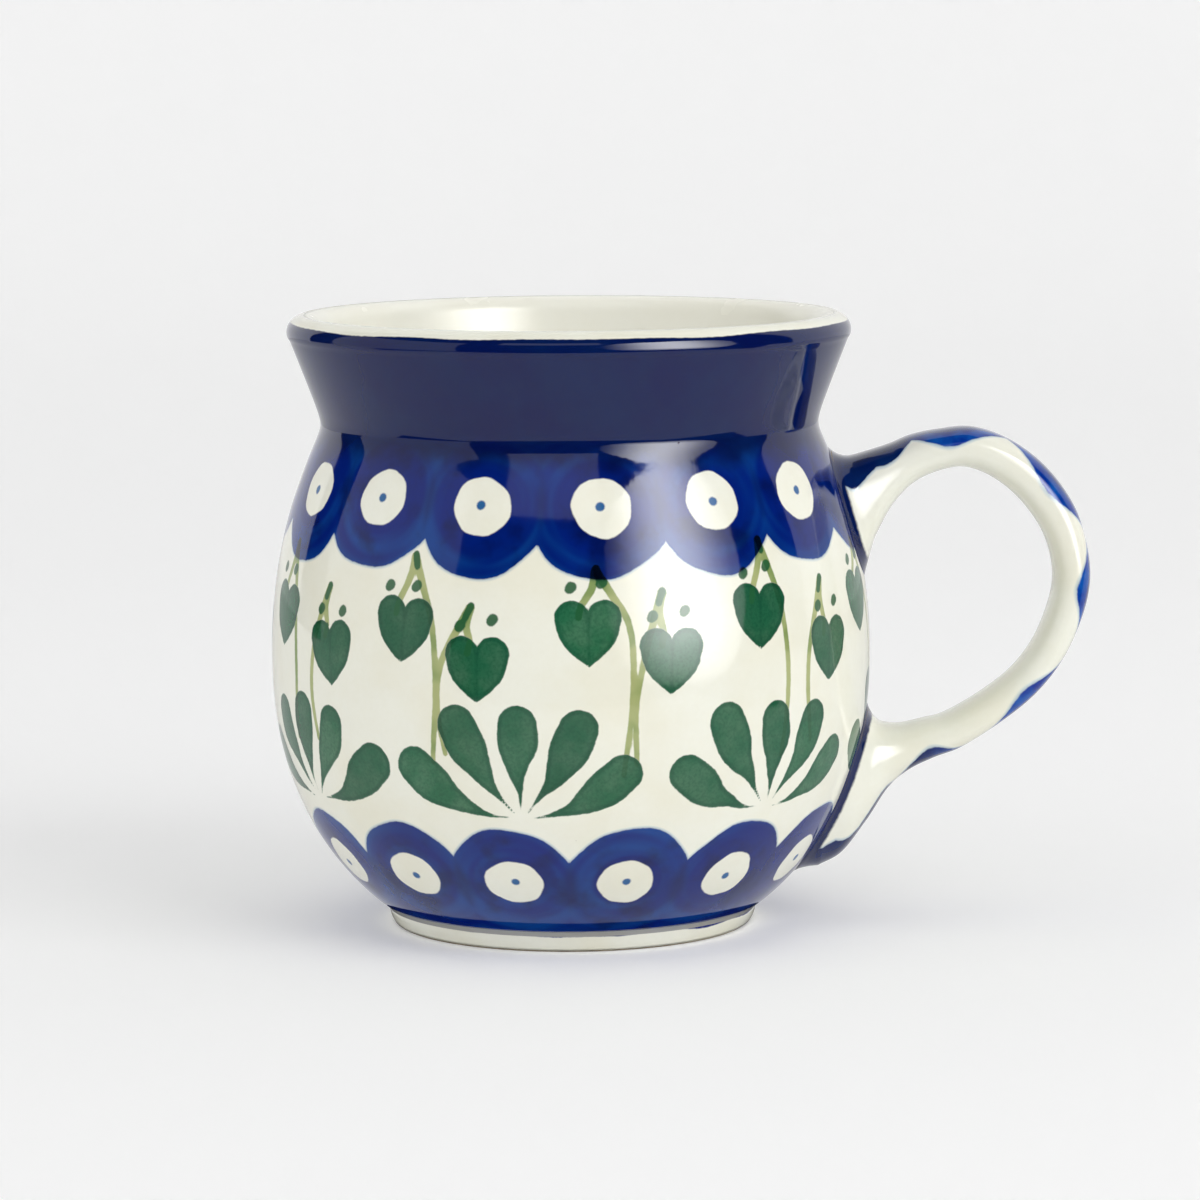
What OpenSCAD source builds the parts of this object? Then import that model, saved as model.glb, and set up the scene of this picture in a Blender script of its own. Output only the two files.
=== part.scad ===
// Round-bellied stoneware mug with a flared neck, a foot ring and a strap handle.
// The origin is the centre of the foot on the table, +Z is up and the handle points along +X.
// Sizes are those of the finished, glazed mug. The clay lies one glaze coat below them.

/* [Cup] */
// Height from the table to the top of the lip
height = 100; // [82:1:125]
// Diameter of the belly where it is widest
belly_d = 97.8; // [92:0.2:120]
// Height of the widest part of the belly above the table
belly_z = 45; // [36:1:54]
// Diameter of the waist between the belly and the flared neck
waist_d = 81.2; // [66:0.2:88]
// Height of the flared neck, from the waist to the top of the lip
neck_h = 18; // [12:0.5:26]
// Diameter of the lip where it is widest
rim_d = 91.8; // [84:0.2:110]
// Radius of the rounded lip
lip_r = 2.8; // [2:0.1:3.4]
// Thickness of the wall at the belly and the waist, with its glaze
wall = 4.4; // [3.4:0.1:5.6]
// Softness of the crease at the waist
waist_blend = 1.4; // [0.4:0.1:4]

/* [Foot] */
// Diameter of the foot ring
foot_d = 60.4; // [48:0.2:74]
// Height of the foot, from the table to where the belly starts
foot_h = 4.5; // [3.6:0.1:6]
// Height of the pale band round the foot ring
foot_band_h = 2.9; // [2:0.1:3.4]
// How far the belly stands out over the foot ring
foot_step = 2.2; // [0.8:0.1:4]
// How much the foot ring narrows towards the table, on its radius
foot_taper = 1.2; // [0.4:0.1:2]
// Width of the foot ring where it meets the table
foot_w = 4; // [3:0.1:6]
// Depth of the recess under the base
recess_h = 3.2; // [2:0.1:4]
// Thickness of the base in the middle, with its glaze
base_t = 4.3; // [3.2:0.1:7]
// Height of the bare clay line above the table
bare_h = 0.7; // [0.4:0.1:1.2]

/* [Handle] */
// How far the back of the handle stands out from the belly
handle_reach = 36.1; // [28:0.1:46]
// Thickness of the handle, front to back, at mid height
handle_t = 6; // [4.8:0.1:7.4]
// Width of the handle strap
handle_w = 12.4; // [9.6:0.2:15.2]
// Drop from the waist to the middle of the upper joint
upper_drop = 12; // [9:0.5:16]
// Height of the middle of the lower joint above the table
lower_joint_z = 22; // [20:0.5:28]
// Thickness of the slip that sticks the handle to the cup
slip_t = 0.6; // [0.4:0.1:1.2]
// How far the slip is squeezed out round the end of the handle
slip_bead = 1; // [0.4:0.1:1.6]

/* [Glaze] */
// Thickness of the fired glaze
glaze_t = 0.3; // [0.2:0.05:0.5]

/* [Hidden] */

belly_r = belly_d / 2;
rim_r = rim_d / 2;
foot_r = foot_d / 2;
waist_z = height - neck_h;
lip_z = height - lip_r;
floor_z = recess_h + base_t;
turn_fn = 180;
wall_steps = 34;
lip_steps = 10;
bowl_steps = 14;

// The belly is an ellipse above its widest part and a fuller curve below it.
upper_fullness = 2;
lower_fullness = 2.3;
bowl_fullness = 3;

// The two curves pass through the waist and through the shoulder over the foot.
crease_r = (waist_d - waist_blend) / 2;
shoulder_r = foot_r + foot_step;
upper_span = (waist_z - belly_z) / pow(1 - pow(crease_r / belly_r, 2), 1 / upper_fullness);
lower_span = (belly_z - foot_h) / pow(1 - pow(shoulder_r / belly_r, 2), 1 / lower_fullness);

function soft_max(a, b, blend) = (a + b + sqrt(pow(a - b, 2) + pow(blend, 2))) / 2;
function arch(share, fullness) = sqrt(max(0, 1 - pow(share, fullness)));

function belly_curve(z) = belly_r * (z > belly_z
    ? arch((z - belly_z) / upper_span, upper_fullness)
    : arch((belly_z - z) / lower_span, lower_fullness));
flare_lean = atan2(rim_r - crease_r, lip_z - waist_z);
function flare_line(z) = crease_r + (z - waist_z) * tan(flare_lean);
function outer_r(z) = soft_max(belly_curve(z), flare_line(z), waist_blend);

inner_scale = (belly_r - wall) / belly_r;
inner_crease_r = crease_r * inner_scale;
inner_rim_r = rim_r - 2 * lip_r;
inner_lean = atan2(inner_rim_r - inner_crease_r, lip_z - waist_z);
function inner_flare(z) = inner_crease_r + (z - waist_z) * tan(inner_lean);
function inner_r(z) = soft_max(belly_curve(z) * inner_scale, inner_flare(z), waist_blend);

// Outline of the glazed skin, in order: foot ring, belly, neck, lip, inside, floor.
foot_line = [
    [foot_r - foot_taper * 0.8, bare_h],
    [foot_r - foot_taper * 0.25, foot_band_h * 0.5],
    [foot_r, foot_band_h * 0.9],
    [foot_r - 0.2, foot_band_h + 0.2],
    [foot_r + foot_step * 0.25, foot_h - 0.5],
];
lip_start_z = lip_z - lip_r * sin(flare_lean);
belly_line = [for (i = [0 : wall_steps])
    let (z = foot_h + (lip_start_z - foot_h) * i / wall_steps)
    [outer_r(z), z]];
function lip_point(a) = [rim_r - lip_r + lip_r * cos(a), lip_z + lip_r * sin(a)];
lip_outside = [for (i = [1 : lip_steps]) lip_point(-flare_lean + (90 + flare_lean) * i / lip_steps)];
lip_inside = [for (i = [1 : lip_steps]) lip_point(90 + 90 * i / lip_steps)];
inner_top_z = lip_z - lip_r / 2;
inner_line = [for (i = [0 : wall_steps / 2])
    let (z = inner_top_z + (belly_z - inner_top_z) * i / (wall_steps / 2))
    [inner_r(z), z]];
bowl_line = [for (i = [1 : bowl_steps])
    let (a = 90 * i / bowl_steps)
    [inner_r(belly_z) * pow(cos(a), 2 / bowl_fullness),
     belly_z - (belly_z - floor_z) * pow(sin(a), 2 / bowl_fullness)]];
skin = concat(foot_line, belly_line, lip_outside, lip_inside, inner_line, bowl_line);
lip_top = len(foot_line) + len(belly_line) + len(lip_outside) - 1;

// Outline of the glazed recess under the base, from the middle out to the foot ring.
ring_in_r = foot_r - foot_taper - foot_w;
recess_line = [
    [0, recess_h],
    [ring_in_r - 3, recess_h],
    [ring_in_r - 1.2, recess_h * 0.85],
    [ring_in_r - 0.5, recess_h * 0.5],
    [ring_in_r - 0.2, bare_h],
];

function slice(points, first, last) = [for (i = [first : last]) points[i]];
function flipped(points) = [for (i = [len(points) - 1 : -1 : 0]) points[i]];
// Moves an outline to its left by depth. A point on the axis stays on it.
function inset(points, depth) = [for (i = [0 : len(points) - 1])
    let (before = points[max(i - 1, 0)],
         after = points[min(i + 1, len(points) - 1)],
         along = (after - before) / norm(after - before),
         at = points[i] + depth * [-along[1], along[0]])
    points[i][0] < 0.001 ? [0, at[1]] : at];

clay_skin = inset(skin, glaze_t);
clay_recess = inset(recess_line, glaze_t);
bare_foot = [
    [ring_in_r, 0],
    [foot_r - foot_taper, 0],
    [foot_r - foot_taper * 0.85 - glaze_t, bare_h * 0.5],
];

module turned(outline) rotate_extrude($fn = turn_fn) polygon(outline);

// The outside of the clay with its hollow filled, grown by a depth of slip.
module cup_blank(growth) {
    side = inset(slice(skin, 0, lip_top), glaze_t - growth);
    turned(concat([[0, 0.1], [side[0][0], 0.1]], side, [[0, height]]));
}

// Handle, as sections from the upper joint round to the lower one. Each row gives how far out
// its middle is, in reaches, how high it is between the joints, which way its back faces in
// degrees, and its thickness and width as multiples of the strap's.
HANDLE_RUN = [
    [-0.20, 0.93, 98, 3.10, 1.60],
    [-0.07, 0.95, 98, 2.90, 1.45],
    [0.02, 1.01, 94, 2.25, 1.25],
    [0.11, 1.07, 91, 1.65, 1.10],
    [0.21, 1.12, 91, 1.30, 1.02],
    [0.34, 1.15, 88, 1.12, 1.00],
    [0.49, 1.16, 77, 1.10, 1.00],
    [0.65, 1.12, 61, 1.12, 1.00],
    [0.80, 1.04, 47, 1.13, 1.00],
    [0.92, 0.93, 32, 1.10, 1.00],
    [0.98, 0.82, 17, 1.03, 1.00],
    [1.00, 0.71, 2, 1.00, 1.00],
    [0.97, 0.60, -14, 0.97, 1.00],
    [0.89, 0.47, -31, 0.94, 1.00],
    [0.77, 0.36, -46, 0.92, 1.00],
    [0.61, 0.27, -57, 0.94, 1.00],
    [0.42, 0.19, -66, 1.00, 1.00],
    [0.29, 0.16, -74, 1.07, 1.02],
    [0.17, 0.13, -82, 1.27, 1.08],
    [0.08, 0.10, -89, 1.80, 1.20],
    [0.00, 0.05, -96, 2.85, 1.40],
    [-0.09, 0.01, -99, 3.90, 1.60],
    [-0.20, -0.01, -99, 4.30, 1.70],
];
run_out = handle_reach - handle_t / 2;
upper_joint_z = waist_z - upper_drop;
run_up = upper_joint_z - lower_joint_z;
section_sides = 24;
section_fullness = 2.5;
rings_a_row = 2;
rings = (len(HANDLE_RUN) - 1) * rings_a_row;

// Smooth curve through the rows, each value blended from the four rows round it.
function smooth(a, b, c, d, t) = (2 * b + (c - a) * t + (2 * a - 5 * b + 4 * c - d) * t * t
    + (3 * b - a - 3 * c + d) * t * t * t) / 2;
function row(i) = HANDLE_RUN[max(0, min(len(HANDLE_RUN) - 1, i))];
function run_at(k) = let (i = floor(k / rings_a_row), t = k / rings_a_row - i)
    smooth(row(i - 1), row(i), row(i + 1), row(i + 2), t);
function rounded(value) = sign(value) * pow(abs(value), 2 / section_fullness);
function ring(k, growth) = let (s = run_at(k),
        thick = s[3] * handle_t / 2 + growth,
        wide = s[4] * handle_w / 2 + growth)
    [for (j = [0 : section_sides - 1])
        let (a = 360 * j / section_sides, out = thick * rounded(cos(a)))
        [belly_r + s[0] * run_out + out * cos(s[2]),
         wide * rounded(sin(a)),
         lower_joint_z + s[1] * run_up + out * sin(s[2])]];
function rings_of(growth) = [for (k = [0 : rings]) each ring(k, growth)];
function side_faces(first) = [for (k = [0 : rings - 1], j = [0 : section_sides - 1])
    let (a = first + k * section_sides + j,
         b = first + k * section_sides + (j + 1) % section_sides)
    each [[a, b, b + section_sides], [a, b + section_sides, a + section_sides]]];
function flipped_faces(faces) = [for (face = faces) flipped(face)];
function end_faces(outer, inner) = [for (j = [0 : section_sides - 1])
    let (next = (j + 1) % section_sides)
    each [[outer + j, inner + j, inner + next], [outer + j, inner + next, outer + next]]];

// The handle's whole run, from inside the cup's wall at the top to inside it at the foot.
module strap(growth) {
    polyhedron(rings_of(growth), concat(
        [flipped([for (j = [0 : section_sides - 1]) j])],
        side_faces(0),
        [[for (j = [0 : section_sides - 1]) rings * section_sides + j]]));
}

// A skin of glaze_t over that run.
module strap_skin() {
    count = (rings + 1) * section_sides;
    last = rings * section_sides;
    polyhedron(concat(rings_of(0), rings_of(-glaze_t)), concat(
        side_faces(0),
        flipped_faces(side_faces(count)),
        end_faces(0, count),
        flipped_faces(end_faces(last, count + last))));
}

// The patch of slip under one end of the handle: as high and as wide as that end and its bead,
// with round corners.
patch_roundness = 0.8;
module patch(s) {
    half_h = s[3] * handle_t / 2 + slip_bead;
    half_w = s[4] * handle_w / 2 + slip_bead;
    corner_r = patch_roundness * min(half_h, half_w);
    translate([belly_r / 2, 0, lower_joint_z + s[1] * run_up])
        rotate([90, 0, 90])
        linear_extrude(belly_r) {
            for (x = [-1, 1], y = [-1, 1])
                translate([x * (half_w - corner_r), y * (half_h - corner_r)]) circle(corner_r, $fn = 64);
            square([2 * half_w, 2 * (half_h - corner_r)], center = true);
            square([2 * (half_w - corner_r), 2 * half_h], center = true);
        }
}
upper_end = HANDLE_RUN[1];
lower_end = HANDLE_RUN[len(HANDLE_RUN) - 2];
module slip_layer() {
    difference() {
        cup_blank(slip_t);
        cup_blank(0);
    }
}

module cup_body() {
    color("#d9cdb8") turned(concat(clay_skin, clay_recess, bare_foot));
}

module handle() {
    color("#d9cdb8") difference() {
        strap(-glaze_t);
        cup_blank(slip_t);
    }
}

module upper_joint_slip() {
    color("#cbbda4") intersection() {
        slip_layer();
        patch(upper_end);
    }
}

module lower_joint_slip() {
    color("#cbbda4") intersection() {
        slip_layer();
        patch(lower_end);
    }
}

module outside_glaze() {
    color("#1d2f6f") difference() {
        turned(concat(slice(skin, 0, lip_top), flipped(slice(clay_skin, 0, lip_top))));
        patch(upper_end);
        patch(lower_end);
    }
}

module inside_glaze() {
    last = len(skin) - 1;
    color("#efe9da") turned(concat(slice(skin, lip_top, last), flipped(slice(clay_skin, lip_top, last))));
}

module handle_glaze() {
    color("#e9e4d6") difference() {
        strap_skin();
        cup_blank(slip_t);
    }
}

module base_glaze() {
    color("#efe9da") turned(concat(recess_line, flipped(clay_recess)));
}

cup_body();
handle();
upper_joint_slip();
lower_joint_slip();
outside_glaze();
inside_glaze();
handle_glaze();
base_glaze();
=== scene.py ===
"""Looks of the hand-painted stoneware mug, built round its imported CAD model.

The frame is the part's own: metres, the origin in the middle of the foot, +Z up and the handle
along +X. Shapes and paint are worked out in millimetres, as in part.scad, and turned into metres
where a mesh is made. Angles round the cup run from the front (-Y), positive towards the handle.
"""
import math

import bpy
import numpy as np
from mathutils import Matrix, Vector


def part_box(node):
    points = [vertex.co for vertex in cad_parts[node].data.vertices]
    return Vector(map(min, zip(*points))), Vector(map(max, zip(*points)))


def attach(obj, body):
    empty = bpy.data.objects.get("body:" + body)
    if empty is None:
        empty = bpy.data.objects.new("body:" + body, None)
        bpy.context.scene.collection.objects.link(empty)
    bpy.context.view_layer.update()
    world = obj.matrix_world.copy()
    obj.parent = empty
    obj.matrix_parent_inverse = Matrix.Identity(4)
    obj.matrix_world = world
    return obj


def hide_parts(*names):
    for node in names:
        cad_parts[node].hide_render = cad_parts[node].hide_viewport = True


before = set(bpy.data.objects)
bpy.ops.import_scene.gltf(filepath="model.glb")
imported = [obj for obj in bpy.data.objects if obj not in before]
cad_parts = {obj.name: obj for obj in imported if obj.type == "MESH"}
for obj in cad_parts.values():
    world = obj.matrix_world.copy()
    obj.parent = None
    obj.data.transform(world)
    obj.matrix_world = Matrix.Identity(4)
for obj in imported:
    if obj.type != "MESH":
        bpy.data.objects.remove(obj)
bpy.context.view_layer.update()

MM = 0.001

# ---------------------------------------------------------------- sizes read from the frame, in mm


def cad_box_mm(node):
    """The lowest and highest corner of a CAD node, in millimetres."""
    low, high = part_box(node)
    return np.array(low) / MM, np.array(high) / MM


SKIN_LOW, SKIN_HIGH = cad_box_mm("outside_glaze")
INSIDE_LOW, INSIDE_HIGH = cad_box_mm("inside_glaze")
HANDLE_HIGH = cad_box_mm("handle_glaze")[1]

HEIGHT = SKIN_HIGH[2]
BELLY_R = SKIN_HIGH[1]
BARE_H = SKIN_LOW[2]
GLAZE_T = 0.3
FLOOR_Z = INSIDE_LOW[2] + GLAZE_T

# ---------------------------------------------------------------- the cup's other sizes, in mm
BELLY_Z = 45
WAIST_R = 40.6
NECK_H = 18
RIM_R = 45.9
LIP_R = 2.8
WALL = 4.4
WAIST_BLEND = 1.4
FOOT_R = 30.2
FOOT_H = 4.5
FOOT_STEP = 2.2
# The foot's side is upright up to BAND_H, and above that it steps out to the shoulder. Its glaze
# comes down GLAZE_LOWER further than in the CAD model, and below PAINT_LOW it is pale.
BAND_H = 3.35
GLAZE_LOWER = 0.45
PAINT_LOW = 2.7
# How full the curves are: 2 gives an ellipse, and more gives a fuller curve.
UPPER_FULLNESS = 2
LOWER_FULLNESS = 2.3
BOWL_FULLNESS = 3

WAIST_Z = HEIGHT - NECK_H
LIP_Z = HEIGHT - LIP_R
CREASE_R = WAIST_R - WAIST_BLEND / 2
SHOULDER_R = FOOT_R + FOOT_STEP

# How far each belly curve would run before it reached the axis.
UPPER_SPAN = (WAIST_Z - BELLY_Z) / (1 - (CREASE_R / BELLY_R) ** 2) ** (1 / UPPER_FULLNESS)
LOWER_SPAN = (BELLY_Z - FOOT_H) / (1 - (SHOULDER_R / BELLY_R) ** 2) ** (1 / LOWER_FULLNESS)


def soft_max(a, b, blend):
    return (a + b + np.sqrt((a - b) ** 2 + blend**2)) / 2


def belly_curve(z):
    """Radius of the round belly at height z, without the neck."""
    above = np.clip((z - BELLY_Z) / UPPER_SPAN, 0, 1) ** UPPER_FULLNESS
    below = np.clip((BELLY_Z - z) / LOWER_SPAN, 0, 1) ** LOWER_FULLNESS
    return BELLY_R * np.sqrt(np.maximum(0, 1 - above - below))


def flare_line(z, low_r, high_r):
    return low_r + (z - WAIST_Z) * (high_r - low_r) / (LIP_Z - WAIST_Z)


def outer_radius(z):
    """Radius of the glazed outside at height z, from the shoulder over the foot to the lip."""
    return soft_max(belly_curve(z), flare_line(z, CREASE_R, RIM_R), WAIST_BLEND)


def inner_radius(z):
    """Radius of the glazed inside at height z, above the bowl of the floor."""
    scale = (BELLY_R - WALL) / BELLY_R
    flare = flare_line(z, CREASE_R * scale, RIM_R - 2 * LIP_R)
    return soft_max(belly_curve(z) * scale, flare, WAIST_BLEND)


def arc(centre, radius, start, end, count):
    """Points (r, z) on an arc, angles in degrees."""
    turn = np.radians(np.linspace(start, end, count))
    return np.stack([centre[0] + radius * np.cos(turn), centre[1] + radius * np.sin(turn)], 1)


def even_steps(outline, count):
    """The same outline with count points at even distances along it."""
    run = np.r_[0, np.cumsum(np.linalg.norm(np.diff(outline, axis=0), axis=1))]
    steps = np.linspace(0, run[-1], count)
    return np.stack([np.interp(steps, run, outline[:, i]) for i in (0, 1)], 1)


def smooth_through(points, steps):
    """A smooth curve through rows of numbers, with that many steps from each row to the next."""
    rows = np.array(points, float)
    padded = np.vstack([2 * rows[0] - rows[1], rows, 2 * rows[-1] - rows[-2]])
    made = []
    for a, b, c, d in zip(padded, padded[1:], padded[2:], padded[3:]):
        for t in np.arange(steps) / steps:
            made.append((2 * b + (c - a) * t + (2 * a - 5 * b + 4 * c - d) * t**2
                         + (3 * b - a - 3 * c + d) * t**3) / 2)
    return np.array(made + [rows[-1]])


# ---------------------------------------------------------------- outlines (r, z) of the cup

FLARE_LEAN = math.degrees(math.atan2(RIM_R - CREASE_R, LIP_Z - WAIST_Z))


def outside_outline():
    """From the bare clay line round the foot ring, up the belly and neck to the top of the lip."""
    foot = smooth_through([
        [FOOT_R - 0.85, BARE_H - GLAZE_LOWER], [FOOT_R - 0.3, 1.25], [FOOT_R, 2.6],
        [FOOT_R + 0.05, BAND_H], [FOOT_R + 0.9, BAND_H + 0.2],
        [SHOULDER_R - 0.5, FOOT_H - 0.4], [SHOULDER_R, FOOT_H]], 8)
    z = np.linspace(FOOT_H, LIP_Z - LIP_R * math.sin(math.radians(FLARE_LEAN)), 1500)[1:]
    side = np.stack([outer_radius(z), z], 1)
    lip = arc((RIM_R - LIP_R, LIP_Z), LIP_R, -FLARE_LEAN, 90, 40)[1:]
    return np.vstack([foot, side, lip])


def inside_outline():
    """From the top of the lip down the inside to the middle of the floor."""
    lip = arc((RIM_R - LIP_R, LIP_Z), LIP_R, 90, 180, 30)
    z = np.linspace(LIP_Z - LIP_R / 2, BELLY_Z, 500)
    side = np.stack([inner_radius(z), z], 1)
    turn = np.radians(np.linspace(0, 90, 200))[1:]
    bowl_r = inner_radius(np.array(float(BELLY_Z)))
    bowl = np.stack([
        bowl_r * np.cos(turn) ** (2 / BOWL_FULLNESS),
        BELLY_Z - (BELLY_Z - FLOOR_Z) * np.sin(turn) ** (2 / BOWL_FULLNESS)], 1)
    bowl[-1, 0] = 0
    return np.vstack([lip, side, bowl])


def sunk(outline, depth):
    """The outline moved inwards, to its left, by depth."""
    along = np.gradient(outline, axis=0)
    along /= np.linalg.norm(along, axis=1)[:, None]
    moved = outline + depth * np.stack([-along[:, 1], along[:, 0]], 1)
    moved[outline[:, 0] == 0, 0] = 0
    return moved


# ---------------------------------------------------------------- meshes


def new_object(name, points_mm, faces, corner_uvs=None):
    """A smooth mesh object from points in millimetres."""
    mesh = bpy.data.meshes.new(name)
    mesh.from_pydata((np.asarray(points_mm) * MM).tolist(), [], faces)
    mesh.polygons.foreach_set("use_smooth", np.ones(len(mesh.polygons), bool))
    if corner_uvs is not None:
        layer = mesh.uv_layers.new(name="OFBake")
        layer.data.foreach_set("uv", np.asarray(corner_uvs, np.float32).ravel())
    mesh.update()
    obj = bpy.data.objects.new(name, mesh)
    bpy.context.scene.collection.objects.link(obj)
    return obj


def add_values(obj, name, values):
    """Stores one number a vertex, which the materials read by its name."""
    layer = obj.data.attributes.new(name, "FLOAT", "POINT")
    layer.data.foreach_set("value", np.asarray(values, np.float32).ravel())


def ring_faces(rows, columns, closed):
    """Four-cornered faces between rows of points, each row a closed ring."""
    last = rows if closed else rows - 1
    made = []
    for i in range(last):
        a, b = i * columns, ((i + 1) % rows) * columns
        for j in range(columns):
            k = (j + 1) % columns
            made.append((a + j, a + k, b + k, b + j))
    return made


def unrolled_uvs(heights, columns, strips):
    """UVs for ring_faces: the ring cut into strips that are laid above each other."""
    per_strip = columns // strips
    margin = 0.004
    made = np.zeros((len(heights) - 1, columns, 4, 2))
    j = np.arange(columns)
    strip = j // per_strip
    left = (j % per_strip) / per_strip
    for corner, (side, level) in enumerate([(0, 0), (1, 0), (1, 1), (0, 1)]):
        u = margin + (left + side / per_strip) * (1 - 2 * margin)
        v = heights[level:len(heights) - 1 + level, None]
        made[:, :, corner, 0] = u
        made[:, :, corner, 1] = (strip + margin + v * (1 - 2 * margin)) / strips
    return made


# ---------------------------------------------------------------- the painted decoration, in mm
# A gap is a signed distance to the edge of a painted shape: below 0 inside it, above 0 outside.

# A gap far from every painted shape, and the one on surfaces that nothing is painted on.
FAR = 40.0
UNPAINTED = 9.0
# How far the pale glaze of the inside comes over the top of the lip.
LIP_PALE = 2.6
# The outside's mesh, fine enough to store the painting on its vertices.
OUTSIDE_COLUMNS = 768
OUTSIDE_ROWS = 262
random = np.random.default_rng(7)


def hand(size):
    """A small unevenness of the painter's hand."""
    return random.uniform(-size, size)


class Canvas:
    """The outside of the cup laid out flat: angle round it and height up its side, in mm."""

    def __init__(self, outline):
        run = np.r_[0, np.cumsum(np.linalg.norm(np.diff(outline, axis=0), axis=1))]
        belly = np.interp(BELLY_Z, outline[:, 1], run)
        self.rise = (run - belly)[:, None] * np.ones((1, OUTSIDE_COLUMNS))
        self.radius = outline[:, 0][:, None] * np.ones((1, OUTSIDE_COLUMNS))
        self.turn = (np.arange(OUTSIDE_COLUMNS) / OUTSIDE_COLUMNS * 360)[None, :]
        self.outline = outline
        self.run = run - belly

    def rise_at(self, z):
        return float(np.interp(z, self.outline[:, 1], self.run))

    def blank(self, value=FAR):
        return np.full(self.rise.shape, value)

    def local(self, turn, rise, reach):
        """The part of the canvas within reach of a point, and its own flat coordinates."""
        off = (self.turn - turn + 180) % 360 - 180
        across = np.radians(off) * self.radius
        near = (np.abs(across) < reach) & (np.abs(self.rise - rise) < reach)
        return near, across[near], (self.rise - rise)[near]


# How far from a shape's middle its gap and its brushwork are worked out.
BRUSH_REACH = 22.0


def draw_disc(canvas, gap, turn, rise, radius):
    """Adds a round shape with a slightly uneven edge to a gap. Returns which part of the canvas is
    near it, and how far that part is from its middle."""
    near, x, y = canvas.local(turn, rise, BRUSH_REACH)
    around = np.arctan2(y, x)
    wobble = radius * (0.026 * np.sin(2 * around + hand(3)) + 0.018 * np.sin(3 * around + hand(3))
                       + 0.013 * np.sin(7 * around + hand(3)))
    away = np.hypot(x, y)
    gap[near] = np.minimum(gap[near], away - radius - wobble)
    return near, np.minimum(away, BRUSH_REACH)


def draw_stroke(canvas, gap, turn, rise, path, reach, tone=None, shade=0.0):
    """Adds a brush stroke: rows [right, up, half width] from a point, smoothly joined. Where it is
    the nearest stroke so far, tone becomes shade."""
    near, x, y = canvas.local(turn, rise, reach)
    best = np.full(x.shape, np.inf)
    joints = smooth_through(path, 6)
    for start, end in zip(joints, joints[1:]):
        run = end[:2] - start[:2]
        share = ((x - start[0]) * run[0] + (y - start[1]) * run[1]) / max(run @ run, 1e-9)
        share = np.clip(share, 0, 1)
        half = np.maximum(start[2] + (end[2] - start[2]) * share, 0.05)
        distance = np.hypot(x - start[0] - share * run[0], y - start[1] - share * run[1]) - half
        best = np.minimum(best, distance)
    if tone is not None:
        tone[near] = np.where(best < gap[near], shade, tone[near])
    gap[near] = np.minimum(gap[near], best)


# Two rings of eyes at even distances round the cup: how many, the turn of the first, their
# height, and the sizes of the blue disc, the white eye and its dot.
UPPER_EYES = dict(count=15, first=-66, z=73, disc=11.3, eye=4.7, dot=0.75)
LOWER_EYES = dict(count=14, first=-39, z=13, disc=10.4, eye=4.5, dot=0.7)
# Discs within so many degrees of the handle have no eye.
HANDLE_TURN = 90
BESIDE_HANDLE = 15


def draw_eye_rings(canvas):
    """The two blue bands of scallops with white eyes, and what their brushwork follows."""
    blue, white, dot = canvas.blank(), canvas.blank(), canvas.blank()
    nearest, second = canvas.blank(BRUSH_REACH), canvas.blank(BRUSH_REACH)
    for ring, side in ((UPPER_EYES, 1), (LOWER_EYES, -1)):
        level = canvas.rise_at(ring["z"])
        for i in range(ring["count"]):
            turn = ring["first"] + 360 * i / ring["count"] + hand(0.8)
            rise = level + hand(0.4)
            near, far = draw_disc(canvas, blue, turn, rise, ring["disc"] + hand(0.25))
            order = np.sort(np.stack([nearest[near], second[near], far]), axis=0)
            nearest[near], second[near] = order[0], order[1]
            if abs(turn - HANDLE_TURN) > BESIDE_HANDLE:
                draw_disc(canvas, white, turn, rise, ring["eye"] + hand(0.15))
                draw_disc(canvas, dot, turn + hand(0.5), rise + hand(0.3), ring["dot"])
        # Beyond the middles of its discs a band is blue without a break.
        blue = np.minimum(blue, (level - canvas.rise) * side + 1.0)
    return dict(blue=blue, white=white, dot=dot, nearest=nearest, second=second)


# A bunch of leaves is a fan of drops: how many bunches and leaves, the turn of the first bunch,
# the height of its root, how far the fan opens to each side, the length of its middle leaf, how
# much longer the outer ones are, and half the width of a leaf.
BUNCHES = 7
BUNCH_FIRST = -10
BUNCH_Z = 24.5
LEAVES = 5
FAN = 72
LEAF_LENGTH = 15.5
LEAF_LONGER = 3
LEAF_HALF_W = 3.3
# How far a leaf leans, in shares of its place in the fan, at its root and how much less at its
# end, and what shapes its width: how late it swells and how round it closes.
ROOT_LEAN = 1.2
LEAN_LOST = 0.3
LEAF_SWELL = 2.2
LEAF_CLOSE = 0.62
# A heart's right stroke from its lobe to the tip, as rows [right, up, half width].
HEART_STROKE = [[2.5, 2.5, 2.75], [2, 0, 2.5], [1, -2.5, 1.5], [0, -5, 0.1]]
# Flowers hang at even distances round the cup, one higher and the next one lower: how many, the
# turn of the first, the middle height of their hearts and how far above or below it they hang.
FLOWERS = 20
FLOWER_FIRST = -70
FLOWER_Z = 51
FLOWER_STAGGER = 3
# A stem from its flower: where its top is, right and up of the heart's middle, how far it bows
# out, and where its foot is, in degrees beside the heart and in height.
STEM_TOP = (1.2, 10.5)
STEM_BOW = 5.5
STEM_FOOT = (6.5, 33)


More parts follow.
